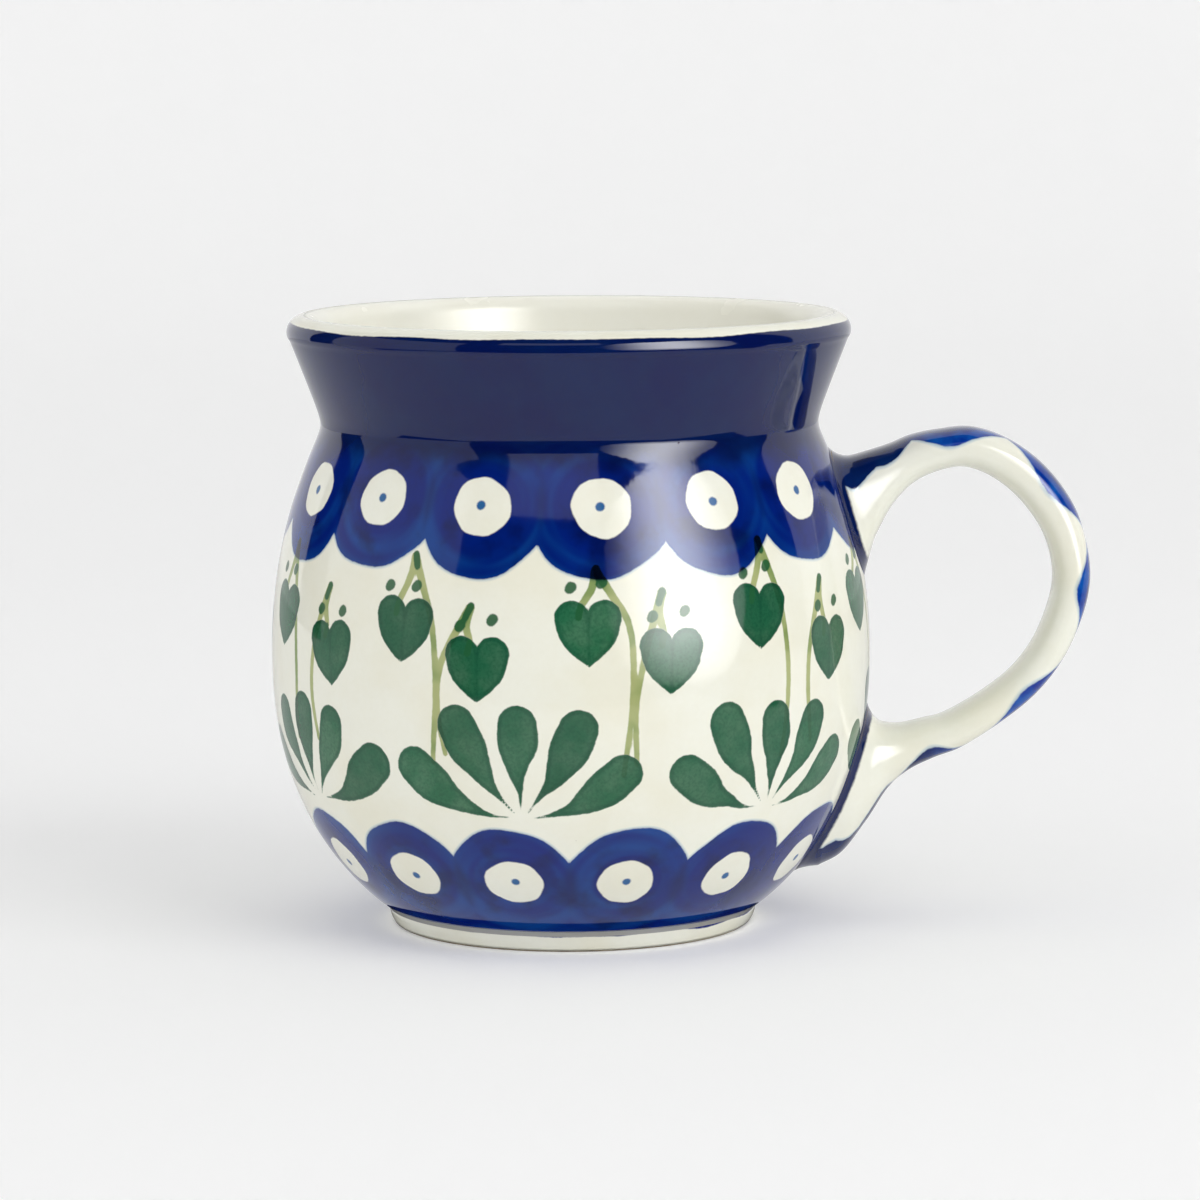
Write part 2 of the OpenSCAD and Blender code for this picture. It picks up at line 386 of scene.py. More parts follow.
def leaf_path(i):
    """One drop of the fan, from its round end to its root. It curls up towards its end."""
    lean = math.radians(FAN * (2 * i / (LEAVES - 1) - 1))
    length = LEAF_LENGTH + LEAF_LONGER * abs(math.sin(lean))
    path = []
    for t in np.linspace(1.0, 0.1, 6):
        aim = lean * (ROOT_LEAN - LEAN_LOST * t)
        width = LEAF_HALF_W * math.sin(LEAF_CLOSE * math.pi * t**LEAF_SWELL)
        path.append([length * t * math.sin(aim), length * t * math.cos(aim), width])
    return path


def flowers():
    """Every flower: its turn and height, the top of its stem, its bow, and the stem's foot."""
    rows = []
    for i in range(FLOWERS):
        side = -1 if i % 2 else 1
        turn = FLOWER_FIRST + 360 * i / FLOWERS + hand(1.5)
        z = FLOWER_Z + FLOWER_STAGGER * side + hand(1.0)
        rows.append([turn, z, side * STEM_TOP[0], STEM_TOP[1] + hand(1.5),
                     side * (STEM_BOW + hand(1.2)),
                     turn + side * (STEM_FOOT[0] + hand(1.5)), STEM_FOOT[1] + hand(2)])
    return rows


def draw_plants(canvas):
    """Leaves, hearts, stems and buds, each kind with its own gap."""
    leaf, heart, stem, bud = canvas.blank(), canvas.blank(), canvas.blank(), canvas.blank()
    tone = canvas.blank(0.0)
    for i in range(BUNCHES):
        turn = BUNCH_FIRST + 360 * i / BUNCHES
        rise = canvas.rise_at(BUNCH_Z) + hand(0.8)
        for j in range(LEAVES):
            grown = 1 + hand(0.08)
            swung = [[x * grown + hand(0.3), y * grown + hand(0.3), w * grown]
                     for x, y, w in leaf_path(j)]
            draw_stroke(canvas, leaf, turn, rise, swung, 32, tone, hand(1))
    for turn, z, top_x, top_y, bow, foot_turn, foot_z in flowers():
        rise = canvas.rise_at(z)
        lean = hand(0.12)
        shade = hand(1)
        for half in (-1, 1):
            leaned = [[half * x - y * lean, y + half * x * lean, w] for x, y, w in HEART_STROKE]
            draw_stroke(canvas, heart, turn, rise, leaned, 11, tone, shade)
        foot_x = math.radians(foot_turn - turn) * float(outer_radius(foot_z))
        foot_y = canvas.rise_at(foot_z) - rise
        side = 1 if bow > 0 else -1
        # The long stem runs from its top, round its bow and down to its foot.
        arch = [[top_x, top_y, 0.75], [top_x + (bow - top_x) * 0.45, top_y * 0.62, 0.62],
                [bow, top_y * 0.05, 0.52], [(bow + foot_x) / 2 + 0.9 * side, foot_y * 0.45, 0.5],
                [foot_x, foot_y, 0.42]]
        draw_stroke(canvas, stem, turn, rise, arch, 32)
        # A short one hooks down to the heart, and buds sit at the top and beside it.
        hook = [[top_x, top_y, 0.7], [top_x - 0.55, top_y * 0.72, 0.62], [-1.1, 4.4, 0.55]]
        draw_stroke(canvas, stem, turn, rise, hook, 20)
        tip = [[top_x + 0.1, top_y + 0.3, 0.62], [top_x - 0.1 + 0.12 * bow, top_y - 1.6, 0.55]]
        draw_stroke(canvas, bud, turn, rise, tip, 20)
        inner = [[-1.15, 4.3, 0.5], [-1.5, 2.6, 0.55]]
        draw_stroke(canvas, bud, turn, rise, inner, 9)
        for x, y in ((-2.6 + hand(0.3), 7.2 + hand(0.4)), (2.3 + hand(0.4), 7.6 + hand(0.6))):
            draw_stroke(canvas, bud, turn, rise, [[x, y, 0.85], [x - 0.3, y - 0.35, 0.75]], 12)
    return dict(leaf=leaf, heart=heart, stem=stem, bud=bud, tone=tone)


# ---------------------------------------------------------------- shader graphs


def linear(red, green, blue):
    """A colour given as it looks on a screen, from 0 to 255, in the shader's own values."""
    made = []
    for value in (red, green, blue):
        share = value / 255
        made.append(share / 12.92 if share <= 0.04045 else ((share + 0.055) / 1.055) ** 2.4)
    return (*made, 1.0)


class Graph:
    """A material and short ways to add nodes to it."""

    def __init__(self, name):
        self.material = bpy.data.materials.new(name)
        self.material.use_nodes = True
        self.tree = self.material.node_tree
        self.shader = self.tree.nodes["Principled BSDF"]
        self.place = self.tree.nodes.new("ShaderNodeTexCoord").outputs["Object"]

    def feed(self, socket, value):
        if isinstance(value, bpy.types.NodeSocket):
            self.tree.links.new(value, socket)
        elif value is not None:
            socket.default_value = value

    def set(self, name, value):
        self.feed(self.shader.inputs[name], value)

    def value(self, name):
        """A number stored on the vertices."""
        node = self.tree.nodes.new("ShaderNodeAttribute")
        node.attribute_name = name
        return node.outputs["Fac"]

    def math(self, operation, a, b=None, c=None):
        node = self.tree.nodes.new("ShaderNodeMath")
        node.operation = operation
        for socket, value in zip(node.inputs, (a, b, c)):
            self.feed(socket, value)
        return node.outputs["Value"]

    def noise(self, size_mm, detail=2.0, place=None):
        """Noise from 0 to 1 with blotches about size_mm across, or that many units of place."""
        node = self.tree.nodes.new("ShaderNodeTexNoise")
        self.feed(node.inputs["Vector"], place or self.place)
        node.inputs["Scale"].default_value = 1 / (size_mm * MM) if place is None else 1 / size_mm
        node.inputs["Detail"].default_value = detail
        return node.outputs["Fac"]

    def ramp(self, value, low, high, start=0.0, end=1.0):
        """A smooth step of value, from low to high, onto start to end."""
        node = self.tree.nodes.new("ShaderNodeMapRange")
        node.interpolation_type = "SMOOTHSTEP"
        for socket, number in zip(node.inputs, (value, low, high, start, end)):
            self.feed(socket, number)
        return node.outputs["Result"]

    def mix(self, share, a, b, blend="MIX"):
        """A mix of two colours, whose sockets the node keeps as its seventh and eighth."""
        node = self.tree.nodes.new("ShaderNodeMix")
        node.data_type = "RGBA"
        node.blend_type = blend
        self.feed(node.inputs[0], share)
        self.feed(node.inputs[6], a)
        self.feed(node.inputs[7], b)
        return node.outputs[2]

    def combine(self, x, y, z):
        node = self.tree.nodes.new("ShaderNodeCombineXYZ")
        for socket, value in zip(node.inputs, (x, y, z)):
            self.feed(socket, value)
        return node.outputs["Vector"]

    def bump(self, height, distance_mm, under=None):
        node = self.tree.nodes.new("ShaderNodeBump")
        self.feed(node.inputs["Height"], height)
        node.inputs["Distance"].default_value = distance_mm * MM
        self.feed(node.inputs["Normal"], under)
        return node.outputs["Normal"]

    def specks(self, spacing_mm, radius, share):
        """Small round marks on some of the cells of a grid of points: 1 on a mark, 0 elsewhere."""
        cells = self.tree.nodes.new("ShaderNodeTexVoronoi")
        self.feed(cells.inputs["Vector"], self.place)
        cells.inputs["Scale"].default_value = 1 / (spacing_mm * MM)
        picked = self.tree.nodes.new("ShaderNodeSeparateColor")
        self.feed(picked.inputs["Color"], cells.outputs["Color"])
        some = self.math("LESS_THAN", picked.outputs["Red"], share)
        return self.math("MULTIPLY", self.ramp(cells.outputs["Distance"], radius, 0.0), some)


CREAM = linear(243, 243, 230)
CREAM_WARM = linear(239, 237, 219)
# A lighter copy of the cream: painted light for the shaded inside of the cup.
CREAM_PAINTED_LIGHTER = linear(254, 253, 243)
GLAZE_POOL = linear(228, 226, 202)
NAVY = linear(4, 27, 78)
COBALT = linear(1, 39, 141)
COBALT_THIN = linear(16, 84, 172)
COBALT_DARK = linear(4, 17, 75)
BLUE_FRINGE = linear(96, 160, 214)
DOT_BLUE = linear(46, 98, 152)
LEAF = linear(44, 112, 82)
LEAF_THIN = linear(74, 126, 100)
LEAF_DARK = linear(10, 70, 56)
STEM = linear(182, 190, 140)
STEM_DARK = linear(140, 162, 106)
LEAF_CROSSED = linear(14, 62, 52)
BUD = linear(36, 92, 56)
SPECK = linear(120, 96, 70)
CLAY = linear(176, 160, 134)
CLAY_WIPED = linear(128, 112, 90)
CLAY_GRIT = linear(112, 84, 60)
WHITE = (1.0, 1.0, 1.0, 1.0)
GLAZE_IOR = 1.52


def glaze_surface(graph, colour, sharpest=0.035, softest=0.075):
    """The glossy glaze over any colour: its shine, its slight orange peel and its pinholes."""
    pits = graph.specks(5.5, 0.035, 0.16)
    graph.set("Base Color", graph.mix(pits, colour, SPECK))
    haze = graph.noise(9.0, 3.0)
    graph.set("Roughness", graph.ramp(haze, 0.3, 0.7, sharpest, softest))
    graph.set("IOR", GLAZE_IOR)
    peel = graph.bump(graph.noise(3.2, 2.0), 0.012)
    graph.set("Normal", graph.bump(graph.math("SUBTRACT", 1.0, pits), 0.05, under=peel))


def cream_colour(graph):
    """The pale ground under the clear glaze, with faint warm clouds and fine grain."""
    clouds = graph.ramp(graph.noise(16.0, 3.0), 0.35, 0.7)
    ground = graph.mix(clouds, CREAM, CREAM_WARM)
    grain = graph.ramp(graph.noise(0.9, 2.0), 0.25, 0.8, 0.0, 0.10)
    return graph.mix(grain, ground, GLAZE_POOL)


def covered(graph, gap, soft, ragged_mm):
    """Where a painted shape covers, with a soft edge that is as uneven as a brush leaves it."""
    centred = graph.math("SUBTRACT", graph.noise(1.1, 3.0), 0.5)
    uneven = graph.math("MULTIPLY", centred, ragged_mm * 2)
    return graph.ramp(graph.math("ADD", gap, uneven), soft, -soft)


def blue_paint(graph, nearest, shade_from_crease):
    """Cobalt brushed round each eye: soft streaks that follow the turn, and darker pools."""
    split = graph.tree.nodes.new("ShaderNodeSeparateXYZ")
    graph.feed(split.inputs["Vector"], graph.place)
    streaks = graph.noise(1.0, 1.5, graph.combine(
        graph.math("MULTIPLY", nearest, 0.3),
        graph.math("MULTIPLY", split.outputs["X"], 48.0),
        graph.math("MULTIPLY", split.outputs["Z"], 48.0)))
    outer = graph.ramp(nearest, 6.5, 9.5, 0.0, 0.1)
    thin = graph.ramp(graph.math("ADD", streaks, outer), 0.46, 0.80, 0.0, 0.85)
    paint = graph.mix(thin, COBALT, COBALT_THIN)
    pooled = graph.ramp(graph.math("SUBTRACT", graph.noise(6.0, 3.0), outer), 0.42, 0.7, 0.0, 0.65)
    paint = graph.mix(pooled, paint, COBALT_DARK)
    # Painted shade: the blue is darkened towards the crease under the neck, where the belly turns in.
    high = graph.math("ADD", shade_from_crease, graph.math("MULTIPLY", graph.noise(5.0, 2.0), 5.0))
    return graph.mix(graph.ramp(high, 8.5, 3.5, 0.0, 0.85), paint, COBALT_DARK)


def painted_glaze():
    """The decorated outside of the cup."""
    graph = Graph("painted_glaze")
    value = graph.value
    colour = cream_colour(graph)

    stem_tone = graph.mix(graph.ramp(graph.noise(6.0, 2.0), 0.4, 0.65), STEM, STEM_DARK)
    leaf = covered(graph, value("leaf"), 0.12, 0.16)
    heart = covered(graph, value("heart"), 0.12, 0.16)
    green = graph.math("MAXIMUM", leaf, heart)
    shown = graph.math("SUBTRACT", 1.0, graph.math("MULTIPLY", green, 0.65))
    stem = graph.math("MULTIPLY", covered(graph, value("stem"), 0.12, 0.10), shown)
    colour = graph.mix(stem, colour, stem_tone, "MULTIPLY")

    edge = graph.math("MINIMUM", value("leaf"), value("heart"))
    rim = graph.ramp(graph.math("ABSOLUTE", graph.math("ADD", edge, 0.4)), 0.55, 0.0, 0.0, 0.4)
    tone = graph.mix(graph.ramp(graph.noise(4.5, 3.0), 0.32, 0.72), LEAF, LEAF_THIN)
    tone = graph.mix(graph.ramp(value("tone"), -1.0, 1.0, 0.0, 0.35), tone, LEAF_DARK)
    tone = graph.mix(graph.ramp(graph.noise(0.45, 2.0), 0.35, 0.75, 0.0, 0.35), tone, LEAF_DARK)
    tone = graph.mix(rim, tone, LEAF_DARK)
    colour = graph.mix(green, colour, tone, "MULTIPLY")
    crossed = graph.math("MULTIPLY", graph.math("MULTIPLY", leaf, heart), 0.8)
    colour = graph.mix(crossed, colour, LEAF_CROSSED)
    bud = graph.math("MULTIPLY", covered(graph, value("bud"), 0.14, 0.12), 0.95)
    colour = graph.mix(bud, colour, BUD)

    blue = covered(graph, value("blue"), 0.14, 0.14)
    fringe = graph.ramp(value("blue"), 0.55, 0.0, 0.0, 0.45)
    colour = graph.mix(fringe, colour, BLUE_FRINGE, "MULTIPLY")
    colour = graph.mix(blue, colour, blue_paint(graph, value("nearest"), value("neck")), "MULTIPLY")
    lapped = graph.ramp(value("second"), 11.0, 9.0, 0.0, 0.55)
    colour = graph.mix(lapped, colour, COBALT_DARK)

    eye = covered(graph, value("white"), 0.16, 0.12)
    colour = graph.mix(eye, colour, cream_colour(graph))
    colour = graph.mix(covered(graph, value("dot"), 0.18, 0.08), colour, DOT_BLUE)

    neck = graph.ramp(value("neck"), 0.25, -0.25)
    neck_paint = graph.mix(graph.ramp(graph.noise(10.0, 3.0), 0.3, 0.7), NAVY, COBALT_DARK)
    colour = graph.mix(neck, colour, neck_paint)
    for name in ("foot_band", "lip"):
        colour = graph.mix(covered(graph, value(name), 0.12, 0.12), colour, cream_colour(graph))
    glaze_surface(graph, colour)
    return graph.material


def handle_material():
    """Cream handle with blue dabs along its back and navy lines round its joints."""
    graph = Graph("handle_glaze")
    colour = cream_colour(graph)
    dab = covered(graph, graph.value("dab"), 0.16, 0.2)
    fringe = graph.ramp(graph.value("dab"), 0.8, 0.0, 0.0, 0.5)
    colour = graph.mix(fringe, colour, BLUE_FRINGE, "MULTIPLY")
    streaks = graph.ramp(graph.noise(4.0, 3.0), 0.35, 0.7)
    paint = graph.mix(streaks, COBALT, COBALT_THIN)
    paint = graph.mix(graph.ramp(graph.value("dab"), -1.0, -5.5, 0.0, 0.8), paint, NAVY)
    paint = graph.mix(graph.ramp(graph.value("joint"), 17.0, 8.0, 0.0, 0.9), paint, NAVY)
    colour = graph.mix(dab, colour, paint)
    ring = covered(graph, graph.value("joint"), 0.2, 0.15)
    colour = graph.mix(ring, colour, graph.mix(streaks, NAVY, COBALT_DARK))
    glaze_surface(graph, colour)
    return graph.material


def clear_glaze():
    """Clear glaze over the pale clay, inside the cup and under it."""
    graph = Graph("clear_glaze")
    # Painted light: the cream is mixed with a lighter copy of itself, brightening the shaded inside of
    # the cup.
    colour = graph.mix(0.6, cream_colour(graph), CREAM_PAINTED_LIGHTER)
    glaze_surface(graph, colour, 0.2, 0.28)
    return graph.material


def bare_clay(name):
    """Bare fired clay: matt, sandy and a little darker where it was wiped."""
    graph = Graph(name)
    tone = graph.mix(graph.ramp(graph.noise(2.5, 4.0), 0.3, 0.75), CLAY, CLAY_WIPED)
    grit = graph.specks(0.9, 0.25, 0.2)
    graph.set("Base Color", graph.mix(grit, tone, CLAY_GRIT))
    graph.set("Roughness", graph.ramp(graph.noise(1.2, 2.0), 0.3, 0.7, 0.75, 0.95))
    graph.set("Normal", graph.bump(graph.noise(0.35, 3.0), 0.08))
    return graph.material


# ---------------------------------------------------------------- pieces of the cup

# How near to the axis the inside's shell comes before it closes.
POLE_R = 0.02
# How much of a shell's UV map its visible side has.
SHOWN = 0.97


def turned_shell(name, visible, hidden, columns, strips):
    """A closed thin shell turned from a visible outline and a hidden one behind it."""
    outline = np.vstack([visible, hidden])
    turn = np.radians(np.arange(columns) / columns * 360)
    x = outline[:, 0][:, None] * np.sin(turn)
    y = -outline[:, 0][:, None] * np.cos(turn)
    z = outline[:, 1][:, None] * np.ones(columns)
    points = np.stack([x, y, z], -1).reshape(-1, 3)
    faces = ring_faces(len(outline), columns, True)
    run = np.r_[0, np.cumsum(np.linalg.norm(np.diff(visible, axis=0), axis=1))]
    heights = np.r_[run / run[-1] * SHOWN, np.linspace(SHOWN, 1, len(hidden) + 2)[1:]]
    uvs = unrolled_uvs(heights, columns, strips)
    return new_object(name, points, faces, uvs)


def painted_outside():
    """The outside glaze with everything painted on it stored on its vertices."""
    visible = even_steps(outside_outline(), OUTSIDE_ROWS)
    hidden = sunk(visible, GLAZE_T)[::-8]
    obj = turned_shell("painted_outside", visible, hidden, OUTSIDE_COLUMNS, 2)
    canvas = Canvas(visible)
    layers = {**draw_eye_rings(canvas), **draw_plants(canvas)}
    layers["neck"] = canvas.rise_at(WAIST_Z + 0.3) - canvas.rise
    uneven = sum(0.16 * np.sin(n * np.radians(canvas.turn) + hand(3)) for n in (2, 5, 9, 14))
    layers["foot_band"] = canvas.rise - canvas.rise_at(PAINT_LOW) + uneven
    layers["lip"] = float(canvas.run[-1]) - LIP_PALE - canvas.rise + 0.5 * uneven
    for name, values in layers.items():
        values = values * np.ones(canvas.rise.shape)
        behind = np.full((len(hidden), OUTSIDE_COLUMNS), UNPAINTED)
        add_values(obj, name, np.vstack([values, behind]))
    obj.data.materials.append(painted_glaze())
    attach(obj, "root")
    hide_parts("outside_glaze")
    return obj


def clear_inside():
    """The glaze inside the cup, from the top of the lip to the middle of the floor."""
    outline = inside_outline()
    outline[-1, 0] = POLE_R
    visible = even_steps(outline, 180)
    hidden = sunk(visible, GLAZE_T)[::-6]
    hidden[:, 0] = np.maximum(hidden[:, 0], POLE_R)
    obj = turned_shell("clear_inside", visible, hidden, 256, 1)
    obj.data.materials.append(clear_glaze())
    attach(obj, "root")
    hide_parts("inside_glaze")
    return obj


# ---------------------------------------------------------------- the handle

# The run of the handle, as in part.scad, from its upper end. A row says how far out its middle
# is, as a share of RUN_OUT, and how far up, as a share of the way from the lower joint to the
# upper one. Then come which way its back faces, in degrees, and its thickness and width as
# multiples of the strap's.
HANDLE_RUN = [
    [-0.20, 0.93, 98, 3.10, 1.60],
    [-0.07, 0.95, 98, 2.90, 1.45],
    [0.02, 1.01, 94, 2.25, 1.25],
    [0.11, 1.07, 91, 1.65, 1.10],
    [0.21, 1.12, 91, 1.30, 1.02],
    [0.34, 1.15, 88, 1.12, 1.00],
    [0.49, 1.16, 77, 1.10, 1.00],
    [0.65, 1.12, 61, 1.12, 1.00],
    [0.80, 1.04, 47, 1.13, 1.00],
    [0.92, 0.93, 32, 1.10, 1.00],
    [0.98, 0.82, 17, 1.03, 1.00],
    [1.00, 0.71, 2, 1.00, 1.00],
    [0.97, 0.60, -14, 0.97, 1.00],
    [0.89, 0.47, -31, 0.94, 1.00],
    [0.77, 0.36, -46, 0.92, 1.00],
    [0.61, 0.27, -57, 0.94, 1.00],
    [0.42, 0.19, -66, 1.00, 1.00],
    [0.29, 0.16, -74, 1.07, 1.02],
    [0.17, 0.13, -82, 1.27, 1.08],
    [0.08, 0.10, -89, 1.80, 1.20],
    [0.00, 0.05, -96, 2.85, 1.40],
    [-0.09, 0.01, -99, 3.90, 1.60],
    [-0.20, -0.01, -99, 4.30, 1.70],
]
HANDLE_T = 6
HANDLE_W = 12.4
LOWER_JOINT_Z = 22
UPPER_JOINT_Z = 70
RUN_OUT = HANDLE_HIGH[0] - BELLY_R - HANDLE_T / 2
# The strap's section is a rounded oblong: 2 would give an ellipse.
SECTION_FULLNESS = 2.5
SECTION_SIDES = 144
# Rings of the mesh from each row of the run to the next.
STEPS_A_ROW = 30
# How far up the handle the navy line round a joint reaches from the cup.
RING_WIDTH = 1.1
# The slip round a joint spreads the handle by a fillet of FILLET_R. It stops at FILLET_SHARE of
# the fillet's arc, before it would lie flat.
FILLET_R = 3.0
FILLET_SHARE = 0.95
# How deep in the cup's wall the handle ends, the rings that carry its lower end in to it, how
# far they round off its edge, and the share of that way which they cover, to be sure to arrive.
ROOT_DEPTH = 2.0
ROOT_STEPS = 10
ROOT_ROUND = 1.2
ROOT_REACH = 1.15

# Blue dabs of even length along the handle's back: how many, the rows of the run where they start
# and end, how far they reach round the strap from the middle of its back at their fullest, and
# how far at their narrow ends and at the handle's joints.
DABS = 7
DABS_START = 1
DABS_END = 21.5
DAB_FULL = 7.2
DAB_NARROW = 1.5
DAB_AT_JOINT = 10.5
# How bluntly a dab swells, and how fast the blue draws back from a joint.
DAB_BLUNT = 1.7
DAB_DRAWN_BACK = 4


def cup_slope(points):
    """The heights of points, kept to the cup's side, and how the side leans out there."""
    z = np.clip(points[..., 2], FOOT_H, LIP_Z)
    return z, (outer_radius(z + 0.1) - outer_radius(z - 0.1)) / 0.2


def cup_gap(points):
    """How far points are outside the cup's skin, in mm."""
    z, slope = cup_slope(points)
    away = np.hypot(points[..., 0], points[..., 1]) - outer_radius(z)
    return away / np.sqrt(1 + slope**2)


def cup_normal(points):
    """Which way the cup's skin faces beside those points."""
    slope = cup_slope(points)[1]
    turn = np.arctan2(points[..., 1], points[..., 0])
    facing = np.stack([np.cos(turn), np.sin(turn), -slope], -1)
    return facing / np.linalg.norm(facing, axis=-1)[..., None]


def flared(points, outward):
    """Points of the handle spread over the cup's skin near it, as the slip round a joint is."""
    normal = cup_normal(points)
    along = outward - (outward * normal).sum(-1)[..., None] * normal
    close = np.clip(1 - cup_gap(points) / FILLET_R, 0, 1) * FILLET_SHARE
    spread = FILLET_R * (1 - np.sqrt(1 - close**2))
    return points + spread[..., None] * along


def kept_in_wall(points):
    """Points that lie deep in the cup's wall, or beyond it, brought back nearly to ROOT_DEPTH."""
    gap = cup_gap(points)
    back = np.where(gap < -ROOT_DEPTH, (-ROOT_DEPTH - gap) * 0.95, 0)
    radius = np.hypot(points[..., 0], points[..., 1])
    moved = points.copy()
    moved[..., :2] *= ((radius + back) / radius)[..., None]
    return moved


def root_rings(ring, outward):
    """Rings that carry an open end of the handle straight in to the cup's wall."""
    gap = cup_gap(ring)
    depth = np.maximum(gap, -ROOT_DEPTH) + ROOT_DEPTH
    radius = np.hypot(ring[:, 0], ring[:, 1])
    made = []
    for share in np.linspace(0, 1, ROOT_STEPS + 1)[1:]:
        moved = ring.copy()
        moved[:, :2] *= ((radius - depth * share * ROOT_REACH) / radius)[:, None]
        corner = ROOT_ROUND * (1 - math.sqrt(1 - 0.75 * share**2))
        moved -= outward * corner * (depth > 0)[:, None]
        made.append(moved)
    return np.stack(made)


def dab_gap(place, round_back):
    """Signed distance to the edge of the blue dabs. place counts rows along the handle."""
    share = np.clip((place - DABS_START) / (DABS_END - DABS_START), 0, 1)
    swell = 1 - np.abs(2 * (share * DABS % 1) - 1) ** DAB_BLUNT
    at_joint = np.abs(2 * share - 1) ** DAB_DRAWN_BACK
    narrow = DAB_NARROW + (DAB_AT_JOINT - DAB_NARROW) * at_joint
    reach = narrow + np.maximum(DAB_FULL - narrow, 0) * swell
    return round_back - reach


def handle_points():
    """Rings of points round the handle, swept along its run, flared at its joints and carried in
    to the cup's wall."""
    run = smooth_through(HANDLE_RUN, STEPS_A_ROW)
    turn = np.radians(np.arange(SECTION_SIDES) / SECTION_SIDES * 360)
    cos, sin = np.cos(turn), np.sin(turn)
    power = 2 / SECTION_FULLNESS
    across = np.sign(sin) * np.abs(sin) ** power
    out = np.sign(cos) * np.abs(cos) ** power
    tilt = np.radians(run[:, 2])[:, None]
    thick = run[:, 3][:, None] * HANDLE_T / 2 * out
    wide = run[:, 4][:, None] * HANDLE_W / 2 * across
    middle = np.stack([BELLY_R + run[:, 0] * RUN_OUT,
                       LOWER_JOINT_Z + run[:, 1] * (UPPER_JOINT_Z - LOWER_JOINT_Z)], 1)
    points = np.stack([middle[:, 0][:, None] + thick * np.cos(tilt), wide,
                       middle[:, 1][:, None] + thick * np.sin(tilt)], -1)
    outward = np.stack([cos * np.cos(tilt), sin * np.ones(tilt.shape), cos * np.sin(tilt)], -1)
    root = root_rings(points[-1], outward[-1])
    points = np.concatenate([points, root])
    outward = np.concatenate([outward, np.repeat(outward[-1:], ROOT_STEPS, axis=0)])
    return kept_in_wall(flared(points, outward))


def cap_uvs():
    """UVs for the fans that close the handle's two ends, each a small round patch."""
    made = np.zeros((2 * SECTION_SIDES, 3, 2))
    for end in range(2):
        for j in range(SECTION_SIDES):
            for corner, side in enumerate((None, j + 1, j)):
                far = 0.0 if side is None else 0.02
                turn = 0 if side is None else 2 * math.pi * side / SECTION_SIDES
                made[end * SECTION_SIDES + j, corner] = (0.1 + 0.2 * end + far * math.cos(turn),
                                                         0.97 + far * math.sin(turn))
    return made


def way_round(points):
    """How far each point of a ring is from the middle of the handle's back, in mm."""
    side = np.cumsum(np.linalg.norm(np.diff(points, axis=1), axis=2), axis=1)
    around = np.concatenate([np.zeros((len(points), 1)), side], axis=1)
    total = around[:, -1:] + np.linalg.norm(points[:, 0] - points[:, -1], axis=1)[:, None]
    return np.minimum(around, total - around)


def handle():
    """The glazed handle, closed at both ends, with its paint stored on its vertices."""
    points = handle_points()
    rings = len(points)
    ends = np.stack([points[0].mean(0), points[-1].mean(0)])
    faces = ring_faces(rings, SECTION_SIDES, False)
    sides = range(SECTION_SIDES)
    first, last = rings * SECTION_SIDES, rings * SECTION_SIDES + 1
    tail = (rings - 1) * SECTION_SIDES
    faces += [(first, (j + 1) % SECTION_SIDES, j) for j in sides]
    faces += [(last, tail + j, tail + (j + 1) % SECTION_SIDES) for j in sides]
    grid = unrolled_uvs(np.linspace(0, 0.94, rings), SECTION_SIDES, 1)
    uvs = np.vstack([grid.reshape(-1, 2), cap_uvs().reshape(-1, 2)])
    obj = new_object("handle", np.vstack([points.reshape(-1, 3), ends]), faces, uvs)

    place = np.minimum(np.arange(rings) / STEPS_A_ROW, len(HANDLE_RUN) - 1)
    dabs = dab_gap(place[:, None], way_round(points))
    joint = cup_gap(points) - RING_WIDTH
    for name, values in (("dab", dabs), ("joint", joint)):
        add_values(obj, name, np.r_[values.ravel(), UNPAINTED, UNPAINTED])
    obj.data.materials.append(handle_material())
    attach(obj, "root")
    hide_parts("handle_glaze")
    return obj


def finish_cad_nodes():
    """Gives the clay, the slip and the glaze under the base their own materials."""
    clay = bare_clay("bare_clay")
    slip = bare_clay("slip")
    finishes = {"cup_body": clay, "handle": clay, "upper_joint_slip": slip,
                "lower_joint_slip": slip, "base_glaze": clear_glaze()}
    for name, material in finishes.items():
        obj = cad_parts[name]
        obj.data.materials.clear()
        obj.data.materials.append(material)


# ---------------------------------------------------------------- stage, lights and camera


def glowing_paper(name, grey, glow):
    """Matt paper that glows. glow is its strength, or the name of the value that holds it."""
    graph = Graph(name)
    graph.set("Base Color", (grey, grey, grey, 1))
    graph.set("Roughness", 0.9)
    graph.set("Specular IOR Level", 0.0)
    graph.set("Emission Color", WHITE)
    graph.set("Emission Strength", graph.value(glow) if isinstance(glow, str) else glow)
    return graph.material


# The floor is flat as far as FLOOR_R and then curves up into the backdrop, in mm.
FLOOR_R = 1300
BACKDROP_CURVE = 900
BACKDROP_H = 3000
# The floor glows a little, as paper lit from below does, and GLOW is what the backdrop adds. It
# comes in from GLOW_START to GLOW_FULL away from the mug, in mm.
FLOOR_GLOW = 0.197
GLOW = 0.08
GLOW_START = 500
GLOW_FULL = 1900


